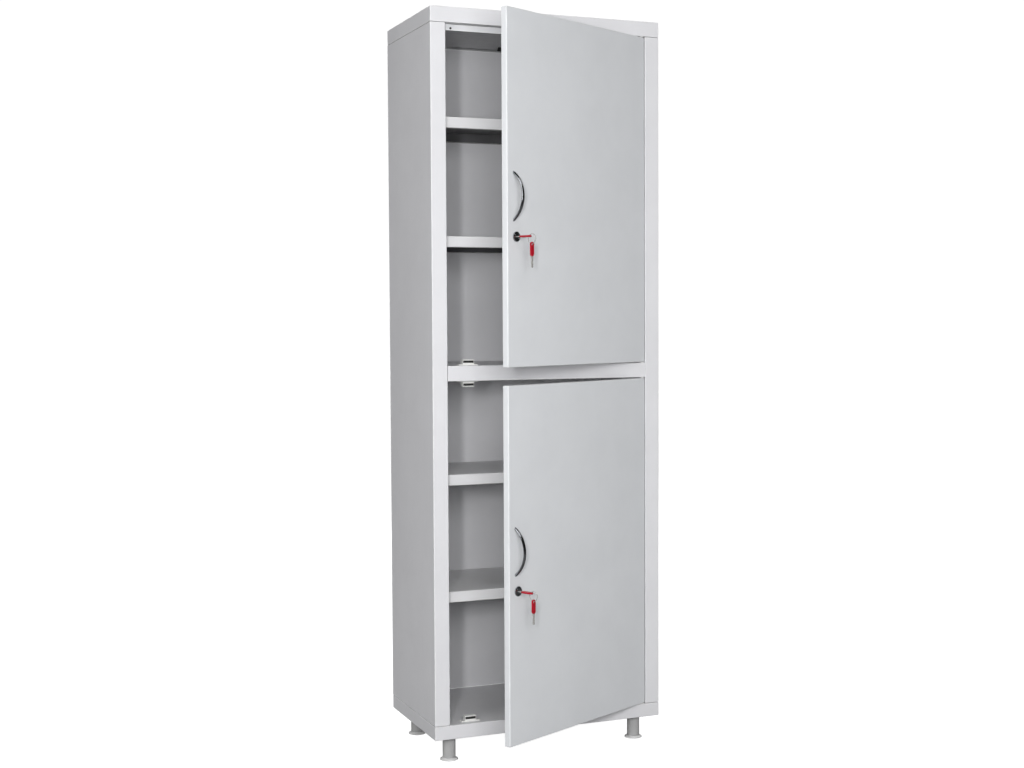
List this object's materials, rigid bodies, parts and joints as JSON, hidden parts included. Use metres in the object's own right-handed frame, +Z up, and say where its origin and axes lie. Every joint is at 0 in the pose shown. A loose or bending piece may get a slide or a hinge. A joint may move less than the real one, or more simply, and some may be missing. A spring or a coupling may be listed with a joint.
{
  "type": "medicine cabinet",
  "caption": "Tall steel medicine cabinet on legs: an upper and a lower hinged door with bow handles and key locks, over loose shelves in a folded sheet body.",
  "frame": {"origin": "on the floor, under the middle of the cabinet's body, midway between the four feet", "axes": "+Z up, +X to the right seen from the front, front towards -Y"},
  "size_m": [0.57, 0.5774, 1.713],
  "materials": {
    "painted_steel": "semi-gloss powder coat, pale grey white",
    "shelf_paint": "semi-gloss powder coat, near white",
    "door_paint": "semi-gloss powder coat, pale grey",
    "bright_strip": "semi-gloss powder coat on a folded strip",
    "galvanised_strip": "bright zinc plating",
    "zinc_steel": "zinc plated",
    "rubber_black": "matt",
    "leg_plastic": "satin moulded plastic, pale grey",
    "catch_plastic": "satin moulded plastic, white",
    "magnet": "sintered ferrite, dark grey",
    "chrome": "polished",
    "key_steel": "nickel plated",
    "key_red": "moulded, slight gloss"
  },
  "bodies": {
    "carcass": {"left_side_panel": "painted_steel", "right_side_panel": "painted_steel", "top_cap": "painted_steel", "ceiling_panel": "painted_steel", "door_stop_strip": "bright_strip", "door_buffer": "rubber_black", "ceiling_knob": "rubber_black", "base_tray": "painted_steel", "back_panel": "painted_steel", "middle_divider": "painted_steel", "frame_rivets": "zinc_steel", "back_rivets": "zinc_steel", "left_shelf_strips": "galvanised_strip", "right_shelf_strips": "galvanised_strip", "shelf_clips": "galvanised_strip", "leg_plates": "zinc_steel", "leg_tubes": "leg_plastic", "leg_bolts": "zinc_steel", "catch_housings": "catch_plastic", "catch_magnets": "magnet", "catch_screws": "zinc_steel", "hinge_bushes": "catch_plastic"},
    "upper_shelf_high": {"upper_shelf_high": "shelf_paint"},
    "upper_shelf_low": {"upper_shelf_low": "shelf_paint"},
    "lower_shelf_high": {"lower_shelf_high": "shelf_paint"},
    "lower_shelf_low": {"lower_shelf_low": "shelf_paint"},
    "foot_front_left": {"foot_front_left": "leg_plastic"},
    "foot_front_right": {"foot_front_right": "leg_plastic"},
    "foot_back_left": {"foot_back_left": "leg_plastic"},
    "foot_back_right": {"foot_back_right": "leg_plastic"},
    "upper_door": {"upper_door_pan": "door_paint", "upper_door_stiffener": "door_paint", "upper_pivot_pins": "zinc_steel", "upper_handle": "chrome", "upper_handle_screws": "zinc_steel", "upper_lock_barrel": "chrome", "upper_lock_nut": "zinc_steel"},
    "upper_lock": {"upper_lock_plug": "chrome", "upper_lock_cam": "zinc_steel", "upper_cam_screw": "zinc_steel"},
    "upper_key": {"upper_key_blade": "key_steel", "upper_key_head": "key_red"},
    "upper_ring": {"upper_key_ring": "key_steel"},
    "upper_spare": {"upper_spare_key_blade": "key_steel", "upper_spare_key_head": "key_red"},
    "lower_door": {"lower_door_pan": "door_paint", "lower_door_stiffener": "door_paint", "lower_pivot_pins": "zinc_steel", "lower_handle": "chrome", "lower_handle_screws": "zinc_steel", "lower_lock_barrel": "chrome", "lower_lock_nut": "zinc_steel"},
    "lower_lock": {"lower_lock_plug": "chrome", "lower_lock_cam": "zinc_steel", "lower_cam_screw": "zinc_steel"},
    "lower_key": {"lower_key_blade": "key_steel", "lower_key_head": "key_red"},
    "lower_ring": {"lower_key_ring": "key_steel"},
    "lower_spare": {"lower_spare_key_blade": "key_steel", "lower_spare_key_head": "key_red"}
  },
  "joints": [
    {"name": "upper_shelf_high_lift", "type": "slide", "parent": "carcass", "child": "upper_shelf_high", "axis": [0, 0, 1], "range_m": [0, 0.03]},
    {"name": "upper_shelf_low_lift", "type": "slide", "parent": "carcass", "child": "upper_shelf_low", "axis": [0, 0, 1], "range_m": [0, 0.03]},
    {"name": "lower_shelf_high_lift", "type": "slide", "parent": "carcass", "child": "lower_shelf_high", "axis": [0, 0, 1], "range_m": [0, 0.03]},
    {"name": "lower_shelf_low_lift", "type": "slide", "parent": "carcass", "child": "lower_shelf_low", "axis": [0, 0, 1], "range_m": [0, 0.03]},
    {"name": "foot_front_left_level", "type": "slide", "parent": "carcass", "child": "foot_front_left", "axis": [0, 0, -1], "range_m": [0, 0.012]},
    {"name": "foot_front_right_level", "type": "slide", "parent": "carcass", "child": "foot_front_right", "axis": [0, 0, -1], "range_m": [0, 0.012]},
    {"name": "foot_back_left_level", "type": "slide", "parent": "carcass", "child": "foot_back_left", "axis": [0, 0, -1], "range_m": [0, 0.012]},
    {"name": "foot_back_right_level", "type": "slide", "parent": "carcass", "child": "foot_back_right", "axis": [0, 0, -1], "range_m": [0, 0.012]},
    {"name": "upper_door_swing", "type": "hinge", "parent": "carcass", "child": "upper_door", "pos_m": [0.242, -0.155, 0.912], "axis": [0, 0, 1], "range_deg": [-27, 78]},
    {"name": "upper_lock_turn", "type": "hinge", "parent": "upper_door", "child": "upper_lock", "pos_m": [-0.16559, -0.36829, 1.191], "axis": [-0.454, 0.891, 0], "range_deg": [0, 90]},
    {"name": "upper_key_pull", "type": "slide", "parent": "upper_lock", "child": "upper_key", "axis": [0.454, -0.891, 0], "range_m": [0, 0.02]},
    {"name": "upper_ring_swing", "type": "hinge", "parent": "upper_key", "child": "upper_ring", "pos_m": [-0.14925, -0.40037, 1.191], "axis": [0.454, -0.891, 0], "range_deg": [-20, 20]},
    {"name": "upper_spare_swing", "type": "hinge", "parent": "upper_ring", "child": "upper_spare", "pos_m": [-0.14562, -0.40749, 1.17305], "axis": [0.454, -0.891, 0], "range_deg": [-45, 45]},
    {"name": "lower_door_swing", "type": "hinge", "parent": "carcass", "child": "lower_door", "pos_m": [0.242, -0.155, 0.092], "axis": [0, 0, 1], "range_deg": [-27, 78]},
    {"name": "lower_lock_turn", "type": "hinge", "parent": "lower_door", "child": "lower_lock", "pos_m": [-0.16559, -0.36829, 0.428], "axis": [-0.454, 0.891, 0], "range_deg": [0, 90]},
    {"name": "lower_key_pull", "type": "slide", "parent": "lower_lock", "child": "lower_key", "axis": [0.454, -0.891, 0], "range_m": [0, 0.02]},
    {"name": "lower_ring_swing", "type": "hinge", "parent": "lower_key", "child": "lower_ring", "pos_m": [-0.14925, -0.40037, 0.428], "axis": [0.454, -0.891, 0], "range_deg": [-20, 20]},
    {"name": "lower_spare_swing", "type": "hinge", "parent": "lower_ring", "child": "lower_spare", "pos_m": [-0.14562, -0.40749, 0.41005], "axis": [0.454, -0.891, 0], "range_deg": [-45, 45]}
  ]
}
